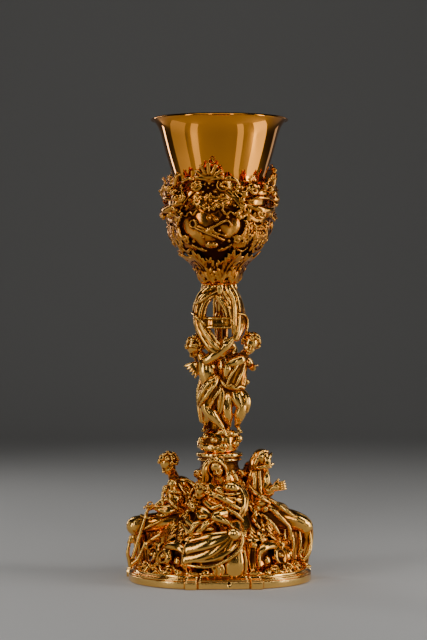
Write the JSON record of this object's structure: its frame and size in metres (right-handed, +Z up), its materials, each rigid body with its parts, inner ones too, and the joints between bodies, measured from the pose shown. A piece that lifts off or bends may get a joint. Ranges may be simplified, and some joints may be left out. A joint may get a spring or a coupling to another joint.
{
  "type": "chalice",
  "caption": "Gilt altar chalice: flared plain cup in a relief-cast calyx, stem of children holding cloth garlands on a rock, and seated robed figures on a lobed, domed foot.",
  "frame": {"origin": "centre of the underside of the foot, on the axis of the cup", "axes": "+Z up along the axis of the cup; -Y is the front, towards the seated figure with the infants; +X is the viewer's right from the front"},
  "size_m": [0.1348, 0.1303, 0.3301],
  "materials": {
    "burnished_gilt": "burnished fire-gilt silver, mirror bright",
    "cast_gilt": "fire-gilt cast silver, worn bright on the high points and dark in the recesses"
  },
  "bodies": {
    "root": {"cup": "burnished_gilt", "calyx": "cast_gilt", "stem_children": "cast_gilt", "collar": "cast_gilt", "foot": "cast_gilt", "figure_charity": "cast_gilt", "figure_hope": "cast_gilt", "figure_faith": "cast_gilt"}
  },
  "joints": []
}
